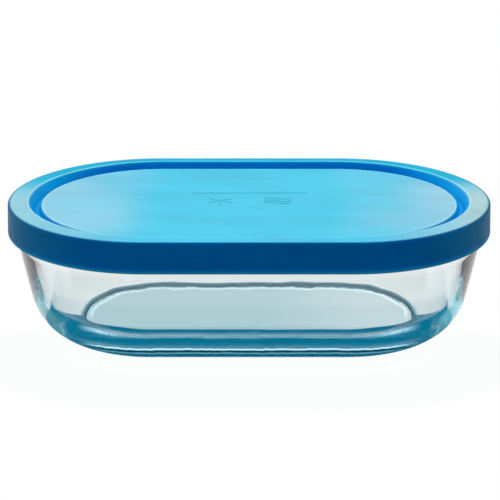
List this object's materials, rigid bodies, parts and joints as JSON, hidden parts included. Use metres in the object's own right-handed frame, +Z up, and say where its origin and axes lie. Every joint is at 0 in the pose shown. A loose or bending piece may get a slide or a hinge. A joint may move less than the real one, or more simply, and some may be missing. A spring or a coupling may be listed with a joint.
{
  "type": "glass storage container",
  "caption": "Stadium-shaped pressed-glass food storage dish with a rounded heel and a one-piece soft plastic lid that presses on and lifts straight off.",
  "frame": {"origin": "middle of the dish's foot, at the height of the surface it stands on", "axes": "+X along the length, +Y across the width, +Z up"},
  "size_m": [0.2216, 0.1336, 0.064],
  "materials": {
    "clear_glass": "clear pressed soda-lime glass, faint blue-green tint",
    "blue_plastic": "satin moulded polyethylene"
  },
  "bodies": {
    "dish": {"glass_dish": "clear_glass"},
    "lid": {"lid": "blue_plastic"}
  },
  "joints": [
    {"name": "lid_lift", "type": "slide", "parent": "dish", "child": "lid", "axis": [0, 0, 1], "range_m": [0, 0.08]}
  ]
}
